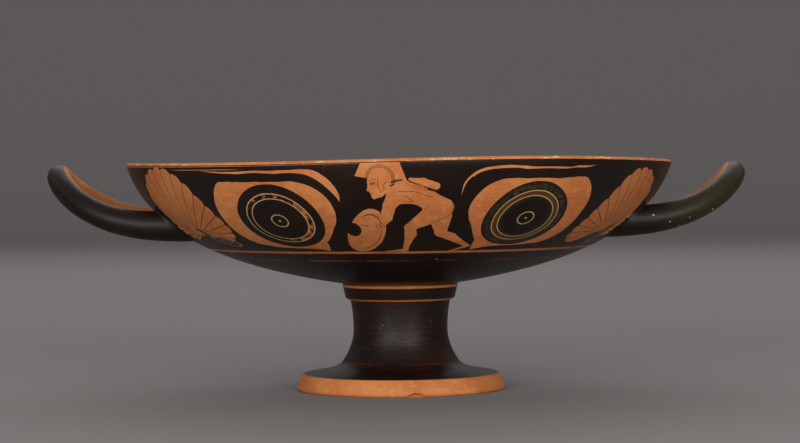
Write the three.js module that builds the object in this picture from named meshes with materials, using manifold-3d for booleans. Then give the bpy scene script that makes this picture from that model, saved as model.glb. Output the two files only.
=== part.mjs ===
// A kylix: a wide two-handled Attic drinking cup on a stemmed foot, thrown, luted together and fired as one
// piece of clay. Units are millimetres, +Z is up, and the origin is the centre of the ring that it stands on.
// The handles lie along X, and side A of the cup faces -Y.

import * as THREE from 'three';
import { mergeVertices } from 'three/addons/utils/BufferGeometryUtils.js';
import Module from 'manifold-3d';

const wasm = await Module();
wasm.setup();

// ---- Driving dimensions -------------------------------------------------------------------------------

const cupHeight = 135.2;       // table to the top of the lip
const rimRadius = 160;         // outside of the lip
const lipThickness = 4;        // the lip is a full round of this thickness
const floorThickness = 6.5;    // bowl wall where it sits on the stem
const floorDip = 0.5;          // the middle of the floor lies this much lower

// Points of the half section, each a [radius, height]. A "pull" is a control point of the curve beside it.
const bowl = { base: [34, 62.8], lowPull: [95.5, 72.5], highPull: [146, 90] };
const collar = { top: [34, 61.8], low: [32.3, 54.2] };
const stem = {
  top: [29.4, 52.6],
  neckPull: [28, 46],
  waist: [27.8, 38],
  waistPull: [27.4, 30],
  sweepPull: [29.6, 24],
  flare: [34.5, 16.5],
  toePull: [37.5, 13.4],
};
const foot = {
  shoulder: [45, 12],
  plateEdge: [58.4, 9.5],
  widest: [61.5, 2.6],
  heelPull: [61.5, 0],
  restEdge: [59.6, 0],
};
const hollow = {                // the cone that opens under the foot
  mouth: [47, 0],
  mouthPull: [36, 6],
  throatPull: [20, 13],
  throat: [12, 35],
  roofPull: [9, 44],
  roof: [0, 44],
};

// The lip dried out of true: these lift or lower it, in mm, by the cosine of 0, 1, 2 and 3 times the azimuth.
const lipWarp = [-0.25, 0.25, -0.6, -0.8];

// One leg of a handle, from inside the bowl's wall to the tip: reach from the axis, half the gap, height.
const handleLeg = [
  [112, 37.5, 100],
  [134, 38.5, 98.8],
  [152, 38, 99.9],
  [170, 34.5, 104.6],
  [185.5, 27, 112.6],
  [195.5, 15.5, 121.2],
  [200, 0, 127.4],
];
const handleTipRadius = 7;
const handleRootRadius = 11;
// A twist, in degrees, sinks the leg on side A more and more towards the tip and lifts the other.
const handles = [
  { side: -1, reach: 200.4, tipDrop: 0.2, twist: 1 },
  { side: 1, reach: 197, tipDrop: 1.6, twist: -3.5 },
];

// An old break in the foot's edge, a little round the cup from the middle of side A.
const chip = { around: 8.5, width: 11, depth: 6.4, height: 6.8, sink: 0.8 };

const latheSides = 68;
const bowlSteps = 12;          // points along each face of the bowl's wall
const curveSteps = 4;          // points along each curve of the lip, stem and foot
const handleSides = 12;
const handleSteps = 22;
const weldDistance = 1e-4;     // corners closer than this are one corner

const glossBlack = new THREE.MeshStandardMaterial({ color: 0x1b1714, roughness: 0.35, metalness: 0 });

// ---- Profiles -----------------------------------------------------------------------------------------

// Outside of the bowl, from the collar up to the lip.
const bowlCurve = new THREE.CubicBezierCurve(
  new THREE.Vector2(...bowl.base),
  new THREE.Vector2(...bowl.lowPull),
  new THREE.Vector2(...bowl.highPull),
  new THREE.Vector2(rimRadius, cupHeight - lipThickness / 2),
);

// The bowl's outside moved inwards by a share of the wall, which thins evenly from the floor to the lip.
function wallPoints(share) {
  const points = [];
  for (let i = 0; i <= bowlSteps; i += 1) {
    const t = i / bowlSteps;
    const place = bowlCurve.getPoint(t);
    const along = bowlCurve.getTangent(t);
    const inwards = THREE.MathUtils.lerp(floorThickness, lipThickness, t) * share;
    points.push(new THREE.Vector2(place.x - along.y * inwards, place.y + along.x * inwards));
  }
  return points;
}

// The underside and the outside of the foot and stem, from the roof of the hollow up to the collar.
function footPoints() {
  const outline = new THREE.Path();
  outline.moveTo(...hollow.roof);
  outline.quadraticCurveTo(...hollow.roofPull, ...hollow.throat);
  outline.bezierCurveTo(...hollow.throatPull, ...hollow.mouthPull, ...hollow.mouth);
  outline.lineTo(...foot.restEdge);
  outline.quadraticCurveTo(...foot.heelPull, ...foot.widest);
  outline.lineTo(...foot.plateEdge);
  outline.lineTo(...foot.shoulder);
  outline.quadraticCurveTo(...stem.toePull, ...stem.flare);
  outline.bezierCurveTo(...stem.sweepPull, ...stem.waistPull, ...stem.waist);
  outline.quadraticCurveTo(...stem.neckPull, ...stem.top);
  outline.lineTo(...collar.low);
  outline.lineTo(...collar.top);
  return outline.getPoints(curveSteps);
}

// One closed line from the middle of the underside, round the outside, to the middle of the bowl's floor.
function vesselProfile() {
  const lipRadius = lipThickness / 2;
  const lip = new THREE.Path();
  lip.absarc(rimRadius - lipRadius, cupHeight - lipRadius, lipRadius, 0, Math.PI, false);
  const inside = wallPoints(1).reverse();
  const floorMiddle = new THREE.Vector2(0, inside.at(-1).y - floorDip);
  return [
    ...footPoints(),
    ...bowlCurve.getPoints(bowlSteps),
    ...lip.getPoints(curveSteps).slice(1),
    ...inside.slice(1),
    floorMiddle,
  ];
}

// A solid up to the middle of the wall, which trims the handle roots so that none shows inside the bowl.
function coreProfile() {
  const middle = wallPoints(0.5);
  const floor = new THREE.Vector2(0, middle[0].y);
  const top = new THREE.Vector2(0, middle.at(-1).y);
  return [floor, ...middle, top];
}

// ---- Solids -------------------------------------------------------------------------------------------

// Turns a closed three.js geometry into a solid: one vertex per place, and no triangle without an area.
function solidOf(geometry) {
  const bare = geometry.clone();
  bare.deleteAttribute('normal');
  bare.deleteAttribute('uv');
  const merged = mergeVertices(bare, weldDistance);
  const corners = merged.index.array;
  const kept = [];
  for (let i = 0; i < corners.length; i += 3) {
    const [a, b, c] = [corners[i], corners[i + 1], corners[i + 2]];
    if (a !== b && b !== c && c !== a) kept.push(a, b, c);
  }
  return new wasm.Manifold(new wasm.Mesh({
    numProp: 3,
    vertProperties: new Float32Array(merged.attributes.position.array),
    triVerts: new Uint32Array(kept),
  }));
}

function geometryOf(solid) {
  const mesh = solid.getMesh();
  const geometry = new THREE.BufferGeometry();
  geometry.setAttribute('position', new THREE.BufferAttribute(new Float32Array(mesh.vertProperties), 3));
  geometry.setIndex(new THREE.BufferAttribute(new Uint32Array(mesh.triVerts), 1));
  geometry.computeVertexNormals();
  return geometry;
}

// Moves the bowl by the warp of its lip, which fades to nothing at the collar.
function warpBowl(geometry) {
  const position = geometry.attributes.position;
  const [, baseHeight] = bowl.base;
  for (let i = 0; i < position.count; i += 1) {
    const rise = (position.getZ(i) - baseHeight) / (cupHeight - baseHeight);
    if (rise <= 0) continue;
    const azimuth = Math.atan2(position.getY(i), position.getX(i));
    const warp = lipWarp.reduce((sum, size, order) => sum + size * Math.cos(order * azimuth), 0);
    position.setZ(i, position.getZ(i) + warp * rise ** 2);
  }
}

// Turned on the wheel: a profile swept round Z.
function turned(profile) {
  const geometry = new THREE.LatheGeometry(profile, latheSides);
  geometry.rotateX(Math.PI / 2);
  warpBowl(geometry);
  return solidOf(geometry);
}

// The centre line of one handle, from the root on side A, round the tip, to the other root.
function handleCurve({ side, reach, tipDrop, twist }) {
  const [start, tip] = [handleLeg[0], handleLeg.at(-1)];
  const slope = Math.tan(THREE.MathUtils.degToRad(twist));
  const place = ([out, half, height], toSideA) => {
    const share = (out - start[0]) / (tip[0] - start[0]);
    const x = side * THREE.MathUtils.lerp(start[0], reach, share);
    const y = -half * toSideA;
    const z = height - tipDrop * share ** 2 - half * toSideA * slope * share;
    return new THREE.Vector3(x, y, z);
  };
  const near = handleLeg.map((point) => place(point, 1));
  const far = handleLeg.slice(0, -1).reverse().map((point) => place(point, -1));
  return new THREE.CatmullRomCurve3([...near, ...far]);
}

// A round bar bent along the centre line, thickest where it is luted to the bowl.
function handleSolid(spec) {
  const curve = handleCurve(spec);
  const bar = new THREE.CylinderGeometry(1, 1, 1, handleSides, handleSteps);
  const position = bar.attributes.position;
  const up = new THREE.Vector3(0, 0, 1);
  for (let i = 0; i < position.count; i += 1) {
    const t = position.getY(i) + 0.5;
    const rootShare = Math.abs(2 * t - 1) ** 3;
    const radius = THREE.MathUtils.lerp(handleTipRadius, handleRootRadius, rootShare);
    const along = curve.getTangentAt(t);
    const across = new THREE.Vector3().crossVectors(along, up).normalize();
    const over = new THREE.Vector3().crossVectors(across, along);
    const place = curve.getPointAt(t)
      .addScaledVector(across, position.getX(i) * radius)
      .addScaledVector(over, position.getZ(i) * radius);
    position.setXYZ(i, place.x, place.y, place.z);
  }
  return solidOf(bar);
}

// The scoop that the chip leaves in the lower edge of the foot.
function chipSolid() {
  const [edgeRadius] = foot.widest;
  const scoop = new THREE.IcosahedronGeometry(0.5, 1);
  scoop.scale(chip.width, chip.depth, chip.height);
  scoop.translate(0, -edgeRadius, -chip.sink);
  scoop.rotateZ(chip.around / edgeRadius);
  return solidOf(scoop);
}

function kylixSolid() {
  const core = turned(coreProfile());
  let vessel = turned(vesselProfile());
  for (const spec of handles) vessel = vessel.add(handleSolid(spec).subtract(core));
  return vessel.subtract(chipSolid());
}

// ---- Scene --------------------------------------------------------------------------------------------

const cup = new THREE.Group();
const kylix = new THREE.Mesh(geometryOf(kylixSolid()), glossBlack);
kylix.name = 'kylix';
cup.add(kylix);

export default cup;
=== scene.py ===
import math

import bmesh
import bpy
from mathutils import Matrix, Vector
from mathutils.geometry import interpolate_bezier


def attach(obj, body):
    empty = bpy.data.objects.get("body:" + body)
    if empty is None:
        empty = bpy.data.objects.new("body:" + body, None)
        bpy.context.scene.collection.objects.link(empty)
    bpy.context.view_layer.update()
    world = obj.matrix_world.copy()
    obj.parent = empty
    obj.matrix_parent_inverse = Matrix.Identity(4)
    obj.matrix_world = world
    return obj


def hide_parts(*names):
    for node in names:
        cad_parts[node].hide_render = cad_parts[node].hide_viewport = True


# A kylix, a wide Attic drinking cup: eyes, palmettes and a stooping warrior left in the orange of the clay.
# Lengths are metres. Side A faces -Y and the handles lie along X. Painted motifs count in millimetres.

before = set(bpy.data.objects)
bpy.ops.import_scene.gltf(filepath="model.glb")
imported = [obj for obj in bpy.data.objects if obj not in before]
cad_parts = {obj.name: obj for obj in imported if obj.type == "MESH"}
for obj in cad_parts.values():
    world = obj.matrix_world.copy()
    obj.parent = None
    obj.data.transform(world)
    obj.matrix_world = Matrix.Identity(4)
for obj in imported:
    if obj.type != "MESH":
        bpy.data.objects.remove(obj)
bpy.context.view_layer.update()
scene = bpy.context.scene
mm = 0.001
weld = 1e-6                      # vertices closer than this are one vertex


# camera first, so that every later stage can be looked at

view = {
    "place": (0.0003, -1.5, 0.1295),
    "pitch": -1.17,          # degrees, looking slightly down
    "roll": -0.57,
    "lens": 114.3,
}


def makeCamera():
    data = bpy.data.cameras.new("camera")
    data.lens = view["lens"]
    data.sensor_width = 36
    camera = bpy.data.objects.new("camera", data)
    scene.collection.objects.link(camera)
    tilt = Matrix.Rotation(math.radians(90 + view["pitch"]), 4, "X")
    roll = Matrix.Rotation(math.radians(view["roll"]), 4, "Z")
    camera.matrix_world = Matrix.Translation(view["place"]) @ tilt @ roll
    scene.camera = camera


makeCamera()
print("camera is up")


# small helpers for meshes

def newObject(name, mesh):
    made = bpy.data.objects.new(name, mesh)
    scene.collection.objects.link(made)
    return made


def smoothObject(name, bm, finish=None):
    # smooth all over, and of one finish unless its faces have their own
    for face in bm.faces:
        face.smooth = True
        if finish is not None:
            face.material_index = finishIndex[finish]
    mesh = bpy.data.meshes.new(name)
    bm.to_mesh(mesh)
    bm.free()
    return newObject(name, mesh)


def bakeMesh(source):
    # the mesh as its modifiers leave it
    graph = bpy.context.evaluated_depsgraph_get()
    return bpy.data.meshes.new_from_object(source.evaluated_get(graph))


def combine(target, tool, operation):
    # joins or cuts for good, and throws the tool away
    cut = target.modifiers.new("cut", "BOOLEAN")
    cut.operation = operation
    cut.solver = "EXACT"
    cut.object = tool
    mesh = bakeMesh(target)
    target.modifiers.clear()
    old = target.data
    target.data = mesh
    bpy.data.meshes.remove(old)
    bpy.data.objects.remove(tool)


def curvePoints(start, pulls, end, steps):
    # points of a curve after its start; one pull bends it evenly, two shape it freely
    start, end = Vector(start), Vector(end)
    pulls = [Vector(pull) for pull in pulls]
    if len(pulls) == 1:
        pulls = [start.lerp(pulls[0], 2 / 3), end.lerp(pulls[0], 2 / 3)]
    spots = [Vector((spot[0], 0, spot[1])) for spot in (start, *pulls, end)]
    return interpolate_bezier(*spots, steps + 1)[1:]


# the thrown body: half a section, turned on the wheel

cup = {
    "rim": 0.160,
    "height": 0.1352,
    "lip": 0.004,                                  # the lip is a full round
    "floor": 0.0065,                               # wall where it sits on the stem
    "floorDip": 0.0005,
    "bowlBase": (0.034, 0.0628),
    "bowlPulls": [(0.0955, 0.0725), (0.146, 0.090)],
    "collarTop": (0.034, 0.0618),
    "collarLow": (0.0323, 0.0542),
    "stemTop": (0.0294, 0.0526),
    "neckPull": (0.028, 0.046),
    "waist": (0.0278, 0.038),
    "stemPulls": [(0.0296, 0.024), (0.0274, 0.030)],
    "flare": (0.0345, 0.0165),
    "toePull": (0.0375, 0.0134),
    "shoulder": (0.045, 0.012),
    "plateEdge": (0.0584, 0.0095),
    "widest": (0.0615, 0.0026),
    "heelPull": (0.0615, 0),
    "restEdge": (0.0596, 0),
    "mouth": (0.047, 0),
    "hollowPulls": [(0.020, 0.013), (0.036, 0.006)],
    "throat": (0.012, 0.035),
    "roofPull": (0.009, 0.044),
    "roof": (0, 0.044),
    "lipWarp": [-0.00025, 0.00025, -0.0006, -0.0008],   # by the cosine of 0 to 3 times the azimuth
    "softCorner": 0.0005,
    "friezeFoot": 0.0765,                          # the picture begins above this height
    "bareLip": 0.0013,                             # depth of the top of the lip that is never painted
    "bowlSteps": 46,
    "lipSteps": 12,
    "curveSteps": 14,
    "wheelSteps": 320,
}

# one number for each finish, in the order of the material slots
finishes = ["friezeFront", "friezeBack", "lipClay", "bowlInside", "lowerGloss", "footClay", "handleGloss"]
finishIndex = {name: i for i, name in enumerate(finishes)}


def wallLine(share):
    # the outside of the bowl moved inwards by a share of the wall
    top = (cup["rim"], cup["height"] - cup["lip"] / 2)
    base = Vector((cup["bowlBase"][0], 0, cup["bowlBase"][1]))
    curve = [base, *curvePoints(cup["bowlBase"], cup["bowlPulls"], top, cup["bowlSteps"])]
    last = len(curve) - 1
    line = []
    for i, place in enumerate(curve):
        along = (curve[min(i + 1, last)] - curve[max(i - 1, 0)]).normalized()
        wall = cup["floor"] + (cup["lip"] - cup["floor"]) * i / last
        line.append(place + Vector((-along.z, 0, along.x)) * wall * share)
    return line


def footLine():
    # from the roof of the hollow, over the foot's edge and up the stem to the collar; corners are marked
    steps = cup["curveSteps"]
    line = [(Vector((cup["roof"][0], 0, cup["roof"][1])), False)]

    def add(points, corner=False):
        line.extend((point, False) for point in points[:-1])
        line.append((points[-1], corner))

    def corner(name):
        line.append((Vector((cup[name][0], 0, cup[name][1])), True))

    add(curvePoints(cup["roof"], [cup["roofPull"]], cup["throat"], steps))
    add(curvePoints(cup["throat"], cup["hollowPulls"], cup["mouth"], steps), True)
    corner("restEdge")
    add(curvePoints(cup["restEdge"], [cup["heelPull"]], cup["widest"], 6))
    corner("plateEdge")
    corner("shoulder")
    add(curvePoints(cup["shoulder"], [cup["toePull"]], cup["flare"], steps))
    add(curvePoints(cup["flare"], cup["stemPulls"], cup["waist"], steps))
    add(curvePoints(cup["waist"], [cup["neckPull"]], cup["stemTop"], steps), True)
    corner("collarLow")
    corner("collarTop")
    return line


def turn(bm, steps=cup["wheelSteps"]):
    # spins the section round Z and closes its poles
    bmesh.ops.spin(
        bm, geom=bm.verts[:] + bm.edges[:], cent=(0, 0, 0), axis=(0, 0, 1), angle=math.tau, steps=steps,
        use_merge=True,
    )
    bmesh.ops.remove_doubles(bm, verts=bm.verts, dist=weld)
    bmesh.ops.recalc_face_normals(bm, faces=bm.faces)


def drawLine(bm, points):
    verts = [bm.verts.new(point) for point in points]
    for start, end in zip(verts, verts[1:]):
        bm.edges.new((start, end))
    return verts


def warpBowl(bm):
    # the lip dried slightly out of true
    base, top = cup["bowlBase"][1], cup["height"]
    for vert in bm.verts:
        rise = max((vert.co.z - base) / (top - base), 0)
        azimuth = math.atan2(vert.co.y, vert.co.x)
        lift = sum(size * math.cos(order * azimuth) for order, size in enumerate(cup["lipWarp"]))
        vert.co.z += lift * rise ** 2


def finishOf(face):
    place = face.calc_center_median()
    reach = place.xy.length
    facesAxis = face.normal.xy.dot(place.xy) < 0
    if place.z < cup["roof"][1] and (facesAxis or face.normal.z < -0.5):
        return "footClay"
    if place.z < cup["plateEdge"][1] and reach > cup["plateEdge"][0]:
        return "footClay"
    if place.z > cup["height"] - cup["bareLip"] and reach > cup["rim"] - cup["lip"]:
        return "lipClay"
    if place.z > cup["bowlBase"][1] and face.normal.z > 0:
        return "bowlInside"
    if place.z > cup["friezeFoot"]:
        return "friezeFront" if place.y < 0 else "friezeBack"
    return "lowerGloss"


def makeVessel():
    bm = bmesh.new()
    lipRadius = cup["lip"] / 2
    lipCentre = Vector((cup["rim"] - lipRadius, 0, cup["height"] - lipRadius))
    foot = footLine()
    outside = wallLine(0)
    inside = wallLine(1)[::-1][1:]
    lip = []
    for i in range(1, cup["lipSteps"] + 1):
        angle = math.pi * i / cup["lipSteps"]
        lip.append(lipCentre + Vector((math.cos(angle), 0, math.sin(angle))) * lipRadius)
    middle = Vector((0, 0, inside[-1].z - cup["floorDip"]))
    points = [point for point, _ in foot] + outside + lip + inside + [middle]
    verts = drawLine(bm, points)
    corners = [vert for vert, (_, corner) in zip(verts, foot) if corner]
    bmesh.ops.bevel(
        bm, geom=corners, offset=cup["softCorner"], segments=3, profile=0.5, affect="VERTICES", material=-1,
    )
    turn(bm)
    for face in bm.faces:
        face.material_index = finishIndex[finishOf(face)]
    warpBowl(bm)
    return smoothObject("paintedCup", bm)


def makeCore():
    # the space up to the middle of the wall, which trims the handle roots
    bm = bmesh.new()
    middle = wallLine(0.5)
    floor = Vector((0, 0, middle[0].z))
    top = Vector((0, 0, middle[-1].z))
    drawLine(bm, [floor, *middle, top])
    turn(bm)
    warpBowl(bm)
    return smoothObject("core", bm)


# the handles: a round bar bent into a loop, thickest where it is luted on

handle = {
    "leg": [                       # reach, half the gap, height: from inside the wall to the tip
        (0.112, 0.0375, 0.100), (0.134, 0.0385, 0.0988), (0.152, 0.038, 0.0999), (0.170, 0.0345, 0.1046),
        (0.1855, 0.027, 0.1126), (0.1955, 0.0155, 0.1212), (0.200, 0, 0.1274),
    ],
    "tipRadius": 0.007,
    "rootRadius": 0.011,
    "left": {"side": -1, "reach": 0.2004, "tipDrop": 0.0002, "twist": 1},
    "right": {"side": 1, "reach": 0.197, "tipDrop": 0.0016, "twist": -3.5},
    "steps": 14,                   # between two points of the leg
    "roundness": 22,
    "loopMiddle": 0.152,           # reach of the middle of the opening, which the bare faces look to
}


def handlePoints(spec):
    start, tip = handle["leg"][0], handle["leg"][-1]
    slope = math.tan(math.radians(spec["twist"]))
    legs = []
    for toSideA in (1, -1):
        leg = []
        for out, half, height in handle["leg"]:
            share = (out - start[0]) / (tip[0] - start[0])
            x = spec["side"] * (start[0] + (spec["reach"] - start[0]) * share)
            z = height - spec["tipDrop"] * share ** 2 - half * toSideA * slope * share
            leg.append(Vector((x, -half * toSideA, z)))
        legs.append(leg)
    return legs[0] + legs[1][-2::-1]


def smoothLine(points, steps):
    # a curve through every point, eased by the root of the distances between them
    ends = [points[0] * 2 - points[1], *points, points[-1] * 2 - points[-2]]
    line = [points[0]]
    for before, start, end, after in zip(ends, ends[1:], ends[2:], ends[3:]):
        a, b, c = [(q - p).length ** 0.5 for p, q in ((before, start), (start, end), (end, after))]
        leave = ((start - before) / a - (end - before) / (a + b) + (end - start) / b) * b
        arrive = ((end - start) / b - (after - start) / (b + c) + (after - end) / c) * b
        line += interpolate_bezier(start, start + leave / 3, end - arrive / 3, end, steps + 1)[1:]
    return line


def makeHandle(name):
    line = smoothLine(handlePoints(handle[name]), handle["steps"])
    walked = [0]
    for start, end in zip(line, line[1:]):
        walked.append(walked[-1] + (end - start).length)
    curve = bpy.data.curves.new(name, "CURVE")
    curve.dimensions = "3D"
    curve.twist_mode = "Z_UP"
    curve.bevel_depth = 1
    curve.bevel_resolution = handle["roundness"]
    curve.use_fill_caps = True
    spline = curve.splines.new("POLY")
    spline.points.add(len(line) - 1)
    for point, place, way in zip(spline.points, line, walked):
        rootShare = abs(2 * way / walked[-1] - 1) ** 3
        point.co = (*place, 1)
        point.radius = handle["tipRadius"] + (handle["rootRadius"] - handle["tipRadius"]) * rootShare
    bent = newObject(name, curve)
    bm = bmesh.new()
    bm.from_mesh(bakeMesh(bent))
    bpy.data.objects.remove(bent)
    bmesh.ops.remove_doubles(bm, verts=bm.verts, dist=weld)
    bmesh.ops.recalc_face_normals(bm, faces=bm.faces)
    return smoothObject(name, bm, "handleGloss")


# an old break in the foot's edge

chip = {"around": 8.5, "width": 0.011, "depth": 0.0064, "height": 0.0068, "sink": 0.0008, "detail": 4}


def makeChip():
    reach = cup["widest"][0]
    bm = bmesh.new()
    bmesh.ops.create_icosphere(bm, subdivisions=chip["detail"], radius=0.5)
    for vert in bm.verts:
        ripple = math.sin(vert.co.x * 19) * math.sin(vert.co.z * 23 + vert.co.y * 11)
        vert.co *= 1 + 0.05 * ripple
    bmesh.ops.scale(bm, vec=(chip["width"], chip["depth"], chip["height"]), verts=bm.verts)
    bmesh.ops.translate(bm, vec=(0, -reach, -chip["sink"]), verts=bm.verts)
    turned = Matrix.Rotation(chip["around"] * mm / reach, 3, "Z")
    bmesh.ops.rotate(bm, cent=(0, 0, 0), matrix=turned, verts=bm.verts)
    return smoothObject("chip", bm, "footClay")


# slip smeared into the joint: how far from the seam it reaches, in rings of vertices

joint = {"rings": 4, "passes": 10, "factor": 0.5, "sharpAngle": 38}


def softenJoints(bm):
    loops = finishIndex["handleGloss"]
    near = set()
    for edge in bm.edges:
        kinds = {face.material_index == loops for face in edge.link_faces}
        if len(kinds) == 2:
            near.update(edge.verts)
    for _ in range(joint["rings"]):
        near.update([edge.other_vert(vert) for vert in near for edge in vert.link_edges])
    near = list(near)
    for _ in range(joint["passes"]):
        bmesh.ops.smooth_vert(
            bm, verts=near, factor=joint["factor"], use_axis_x=True, use_axis_y=True, use_axis_z=True,
        )


def makeCup():
    vessel = makeVessel()
    slots = [bpy.data.materials.new(name) for name in finishes]
    loops = [makeHandle("left"), makeHandle("right")]
    chipTool = makeChip()
    for thing in [vessel, *loops, chipTool]:
        for material in slots:
            thing.data.materials.append(material)
    for loop in loops:
        combine(loop, makeCore(), "DIFFERENCE")
        combine(vessel, loop, "UNION")
    combine(vessel, chipTool, "DIFFERENCE")
    bm = bmesh.new()
    bm.from_mesh(vessel.data)
    bmesh.ops.remove_doubles(bm, verts=bm.verts, dist=1e-5)
    softenJoints(bm)
    bmesh.ops.recalc_face_normals(bm, faces=bm.faces)
    for face in bm.faces:
        face.smooth = True
    bm.to_mesh(vessel.data)
    bm.free()
    vessel.data.set_sharp_from_angle(angle=math.radians(joint["sharpAngle"]))
    return vessel


paintedCup = makeCup()
print("cup is thrown:", len(paintedCup.data.polygons), "faces")


# small helpers for nodes

def addNode(tree, kind, **settings):
    node = tree.nodes.new("ShaderNode" + kind)
    for name, value in settings.items():
        setattr(node, name, value)
    return node


def feed(tree, socket, value):
    # a socket takes another node's output, or a plain value
    if isinstance(value, bpy.types.NodeSocket):
        tree.links.new(value, socket)
    else:
        socket.default_value = value


def maths(tree, operation, *values, clamp=False):
    node = addNode(tree, "Math", operation=operation, use_clamp=clamp)
    for socket, value in zip(node.inputs, values):
        feed(tree, socket, value)
    return node.outputs[0]


def plus(tree, first, second):
    return maths(tree, "ADD", first, second)


def minus(tree, first, second):
    return maths(tree, "SUBTRACT", first, second)


def times(tree, first, *others):
    for other in others:
        first = maths(tree, "MULTIPLY", first, other)
    return first


def absolute(tree, value):
    return maths(tree, "ABSOLUTE", value)


def vectors(tree, operation, *values):
    node = addNode(tree, "VectorMath", operation=operation)
    if operation == "SCALE":
        feed(tree, node.inputs[0], values[0])
        feed(tree, node.inputs["Scale"], values[1])
        return node.outputs[0]
    for socket, value in zip(node.inputs, values):
        feed(tree, socket, value)
    return node.outputs[1 if operation in ("DOT_PRODUCT", "LENGTH", "DISTANCE") else 0]


def pieces(tree, vector):
    node = addNode(tree, "SeparateXYZ")
    feed(tree, node.inputs[0], vector)
    return node.outputs


def compose(tree, x, y, z):
    node = addNode(tree, "CombineXYZ")
    for socket, value in zip(node.inputs, (x, y, z)):
        feed(tree, socket, value)
    return node.outputs[0]


def ranged(tree, value, low, high, toLow=0.0, toHigh=1.0):
    node = addNode(tree, "MapRange", interpolation_type="SMOOTHSTEP")
    names = ("Value", "From Min", "From Max", "To Min", "To Max")
    for name, given in zip(names, (value, low, high, toLow, toHigh)):
        feed(tree, node.inputs[name], given)
    return node.outputs[0]


def noise(tree, vector, scale, detail=3.0, roughness=0.55, distortion=0.0):
    node = addNode(tree, "TexNoise")
    feed(tree, node.inputs["Vector"], vector)
    names = ("Scale", "Detail", "Roughness", "Distortion")
    for name, given in zip(names, (scale, detail, roughness, distortion)):
        feed(tree, node.inputs[name], given)
    return node.outputs[0]


def mixColor(tree, factor, first, second):
    node = addNode(tree, "Mix", data_type="RGBA")
    feed(tree, node.inputs["Factor"], factor)
    feed(tree, node.inputs[6], first)
    feed(tree, node.inputs[7], second)
    return node.outputs[2]


def mixValue(tree, factor, first, second):
    node = addNode(tree, "Mix", data_type="FLOAT")
    feed(tree, node.inputs["Factor"], factor)
    feed(tree, node.inputs[2], first)
    feed(tree, node.inputs[3], second)
    return node.outputs[0]


def mixVector(tree, factor, first, second):
    node = addNode(tree, "Mix", data_type="VECTOR")
    feed(tree, node.inputs["Factor"], factor)
    feed(tree, node.inputs[4], first)
    feed(tree, node.inputs[5], second)
    return node.outputs[1]


def inside(tree, distance, soft=0.12):
    # 1 where a distance in millimetres is negative
    return ranged(tree, distance, soft, -soft)


def stroke(tree, distance, halfWidth, soft=0.12):
    # 1 along a line of that half width
    return inside(tree, minus(tree, absolute(tree, distance), halfWidth), soft)


def band(tree, height, level, halfWidth, soft=0.15):
    # 1 within half a width of that level
    return stroke(tree, minus(tree, height, level), halfWidth, soft)


def highest(tree, first, *others):
    for other in others:
        first = maths(tree, "MAXIMUM", first, other)
    return first


socketKinds = {"value": "NodeSocketFloat", "vector": "NodeSocketVector", "color": "NodeSocketColor"}


def startGroup(name, inputs, outputs):
    tree = bpy.data.node_groups.new(name, "ShaderNodeTree")
    for label, kind in inputs.items():
        tree.interface.new_socket(label, in_out="INPUT", socket_type=socketKinds[kind])
    for label, kind in outputs.items():
        tree.interface.new_socket(label, in_out="OUTPUT", socket_type=socketKinds[kind])
    entry = tree.nodes.new("NodeGroupInput")
    leave = tree.nodes.new("NodeGroupOutput")
    return tree, entry.outputs, leave.inputs


def useGroup(tree, group, values):
    node = addNode(tree, "Group", node_tree=group)
    for label, value in values.items():
        feed(tree, node.inputs[label], value)
    return node.outputs


# the fired surfaces

clay = {
    "body": (0.53, 0.185, 0.055, 1),
    "red": (0.47, 0.135, 0.036, 1),
    "pale": (0.60, 0.26, 0.095, 1),
    "dusty": (0.30, 0.10, 0.034, 1),
    "roughness": 0.66,
}
gloss = {
    "black": (0.0082, 0.0042, 0.0030, 1),
    "brown": (0.026, 0.0095, 0.0045, 1),
    "redBrown": (0.085, 0.021, 0.006, 1),
    "olive": (0.026, 0.021, 0.007, 1),
    "roughness": 0.42,
    "specular": 0.2,             # the bare clay has it too
}


def noiseColor(tree, vector, scale):
    # three noises at once, each about as often below nothing as above it
    node = addNode(tree, "TexNoise")
    feed(tree, node.inputs["Vector"], vector)
    feed(tree, node.inputs["Scale"], scale)
    return vectors(tree, "SUBTRACT", node.outputs["Color"], (0.5, 0.5, 0.5))


def makeClayGroup():
    # fired clay, brushed with a thin wash and mottled
    tree, given, out = startGroup(
        "bareClay", {"Point": "vector"}, {"Color": "color", "Roughness": "value", "Height": "value"},
    )
    point = given["Point"]
    drift = noise(tree, point, 0.035, 3, 0.6)
    blotch = noise(tree, point, 0.24, 5, 0.62, 0.4)
    brushed = noise(tree, vectors(tree, "MULTIPLY", point, (0.12, 0.12, 1.5)), 0.9, 4, 0.6, 0.6)
    grain = noise(tree, point, 1.9, 4, 0.7)
    color = mixColor(tree, ranged(tree, drift, 0.38, 0.64), clay["body"], clay["red"])
    color = mixColor(tree, ranged(tree, blotch, 0.5, 0.74, 0, 0.8), color, clay["pale"])
    color = mixColor(tree, ranged(tree, blotch, 0.46, 0.28, 0, 0.6), color, clay["red"])
    color = mixColor(tree, ranged(tree, brushed, 0.5, 0.72, 0, 0.35), color, clay["pale"])
    color = mixColor(tree, ranged(tree, brushed, 0.46, 0.26, 0, 0.4), color, clay["dusty"])
    color = mixColor(tree, ranged(tree, grain, 0.57, 0.76, 0, 0.4), color, clay["dusty"])
    feed(tree, out["Color"], color)
    rough = ranged(tree, grain, 0.3, 0.7, clay["roughness"] - 0.06, clay["roughness"] + 0.1)
    feed(tree, out["Roughness"], rough)
    feed(tree, out["Height"], plus(tree, grain, times(tree, blotch, 0.6)))
    return tree


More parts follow.
